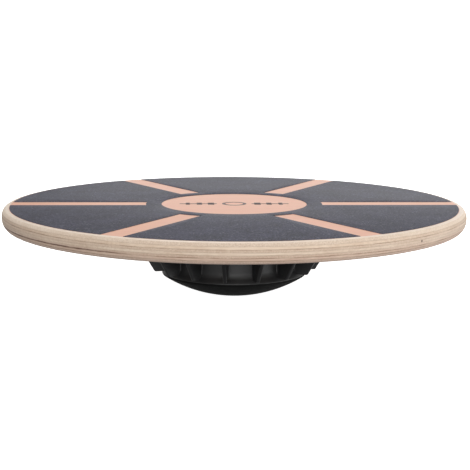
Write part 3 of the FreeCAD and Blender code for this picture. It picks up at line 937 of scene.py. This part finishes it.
@dataclass
class RockerPad:
    """The rubber tread: a shallow dome with a small flat foot and a softened shoulder."""

    rocker: float = 114.0 * MM
    foot: float = 9.0 * MM
    rim: float = 62.3 * MM
    seat_edge: float = 61.1 * MM
    thickness: float = 4.0 * MM
    edge: float = 1.0 * MM
    edge_round: float = 0.8 * MM
    rings: int = 24

    def build(self) -> None:
        """Makes the tread as one spun piece."""
        centre = math.sqrt(self.rocker**2 - self.foot**2)
        tread = []
        for i in range(self.rings + 1):
            r = self.foot + (self.rim - self.foot) * i / self.rings
            tread.append((r, centre - math.sqrt(self.rocker**2 - r**2)))
        seam = tread[-1][1] + self.edge
        sag = seam - self.thickness
        ball = (self.seat_edge**2 + sag**2) / (2 * sag)
        seat = bowl(self.thickness + ball, ball, self.seat_edge)[::-1]
        bm = turned([(0.0, 0.0)] + tread + [(self.rim, seam)] + seat)
        shoulder = [e for e in bm.edges if all(
            abs(math.hypot(v.co.x, v.co.y) - self.rim) < 10 * SEAM and v.co.z < seam - 0.5 * self.edge
            for v in e.verts)]
        round_edges(bm, shoulder, self.edge_round, 4)
        finished("rocker_tread", bm, RubberFinish().material(), ["rocker_pad"], 25.0)


def dress(node: str, material: bpy.types.Material) -> None:
    """Gives a CAD node its finish.

    Args:
        node: the node's name.
        material: the finish for all its slots.
    """
    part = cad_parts[node]
    if not part.material_slots:
        part.data.materials.append(material)
    for slot in part.material_slots:
        slot.material = material
    LOG.info("%s: CAD shape kept", node)


@dataclass
class Fasteners:
    """The eight wood screws and their washers, in their CAD shape."""

    def build(self) -> None:
        """Dresses the screws and washers in zinc."""
        zinc = ZincFinish().material()
        dress("deck_screws", zinc)
        dress("screw_washers", zinc)


@dataclass
class Studio:
    """The white paper tent, the soft lights and the camera."""

    camera_at: tuple[float, float, float] = (-0.03757, -1.07604, 0.23144)
    look_down_deg: float = 9.526
    look_turn_deg: float = -2.043
    roll_deg: float = 0.263
    view_deg: float = 21.11
    floor_size: float = 24.0
    tent_radius: float = 12.0
    sky_levels: tuple[Point, ...] = ((-1.0, 0.15), (-0.75, 0.28), (-0.4, 0.75), (0.0, 0.92), (0.45, 0.6))
    left_share: float = 0.62
    right_share: float = 0.92

    def build(self) -> None:
        """Makes the paper, lights, surroundings and camera."""
        paper = PaperFinish().material()
        flat = bmesh.new()
        bmesh.ops.create_grid(flat, x_segments=4, y_segments=4, size=self.floor_size / 2)
        self._hang("paper_floor", flat, paper)
        dome = bmesh.new()
        bmesh.ops.create_uvsphere(dome, u_segments=48, v_segments=24, radius=self.tent_radius)
        bmesh.ops.reverse_faces(dome, faces=dome.faces)
        self._hang("paper_tent", dome, paper)
        self._surroundings()
        self._lights()
        self._camera()

    def _hang(self, name: str, bm: bmesh.types.BMesh, paper: bpy.types.Material) -> None:
        """Puts up one sheet of paper that is only a background and throws no light back on the board.

        Args:
            name: the sheet's name.
            bm: its mesh, which is freed.
            paper: its finish.
        """
        mesh = bpy.data.meshes.new(name)
        bm.to_mesh(mesh)
        bm.free()
        mesh.materials.append(paper)
        sheet = bpy.data.objects.new(name, mesh)
        sheet.visible_diffuse = sheet.visible_glossy = sheet.visible_shadow = False
        bpy.context.scene.collection.objects.link(sheet)

    def _surroundings(self) -> None:
        """Gives soft light that is strongest along the horizon and at the right, and weak from the ground."""
        world = bpy.data.worlds.new("soft_studio")
        world.use_nodes = True
        tree = world.node_tree
        direction = add_node(tree, "ShaderNodeTexCoord").outputs["Generated"]
        axes = add_node(tree, "ShaderNodeSeparateXYZ", {0: direction})
        height = add_node(tree, "ShaderNodeMapRange", {"Value": axes.outputs["Z"], 1: -1.0, 2: 1.0})
        ramp = add_node(tree, "ShaderNodeValToRGB", {"Fac": height.outputs[0]})
        stops = ramp.color_ramp.elements
        while len(stops) < len(self.sky_levels):
            stops.new(0.5)
        for stop, (z, level) in zip(stops, self.sky_levels):
            stop.position, stop.color = (z + 1.0) / 2.0, (level, level, level, 1.0)
        side = add_node(tree, "ShaderNodeMapRange", {
            "Value": axes.outputs["X"], 1: -1.0, 2: 1.0, 3: self.left_share, 4: self.right_share})
        backdrop = tree.nodes["Background"]
        tree.links.new(ramp.outputs["Color"], backdrop.inputs["Color"])
        tree.links.new(side.outputs[0], backdrop.inputs["Strength"])
        bpy.context.scene.world = world
        view = bpy.context.scene.view_settings
        view.view_transform = "Standard"
        view.look = "None"

    def _lights(self) -> None:
        """Hangs the soft boxes: above, in front, low at the right, and behind at the right."""
        for name, place, width, height, power in (
                ("top_box", (0.1, 0.3, 1.5), 1.4, 1.4, 11.2),
                ("front_box", (0.0, -2.0, 0.5), 1.6, 0.9, 18.5),
                ("low_box", (1.5, -0.25, -0.28), 2.3, 0.45, 9.0),
                ("rear_box", (0.7, 2.4, 0.5), 2.4, 0.6, 6.0)):
            lamp = bpy.data.lights.new(name, "AREA")
            lamp.shape = "RECTANGLE"
            lamp.size, lamp.size_y = width, height
            lamp.energy = power
            holder = bpy.data.objects.new(name, lamp)
            holder.location = place
            aim = Vector((0, 0, 0.05)) - Vector(place)
            holder.rotation_euler = aim.to_track_quat("-Z", "Y").to_euler()
            bpy.context.scene.collection.objects.link(holder)

    def _camera(self) -> None:
        """Sets the camera a little above the deck, in front of the board."""
        lens = bpy.data.cameras.new("camera")
        lens.sensor_fit = "HORIZONTAL"
        lens.angle = math.radians(self.view_deg)
        lens.clip_start, lens.clip_end = 0.01, 100.0
        camera = bpy.data.objects.new("camera", lens)
        turn = Matrix.Rotation(math.radians(self.look_turn_deg), 4, "Z")
        tilt = Matrix.Rotation(math.radians(90 - self.look_down_deg), 4, "X")
        roll = Matrix.Rotation(math.radians(self.roll_deg), 4, "Z")
        camera.matrix_world = Matrix.Translation(self.camera_at) @ turn @ tilt @ roll
        bpy.context.scene.collection.objects.link(camera)
        bpy.context.scene.camera = camera


def main() -> None:
    """Builds the board's sub-assemblies in order, then the studio."""
    logging.basicConfig(level=logging.INFO, format="%(name)s %(message)s")
    for part in (PlywoodDeck(), GripSheet(), LevelMark(), MouldedBase(), RockerPad(), Fasteners(), Studio()):
        LOG.info("building %s", type(part).__name__)
        part.build()


if __name__ == "__main__":
    main()
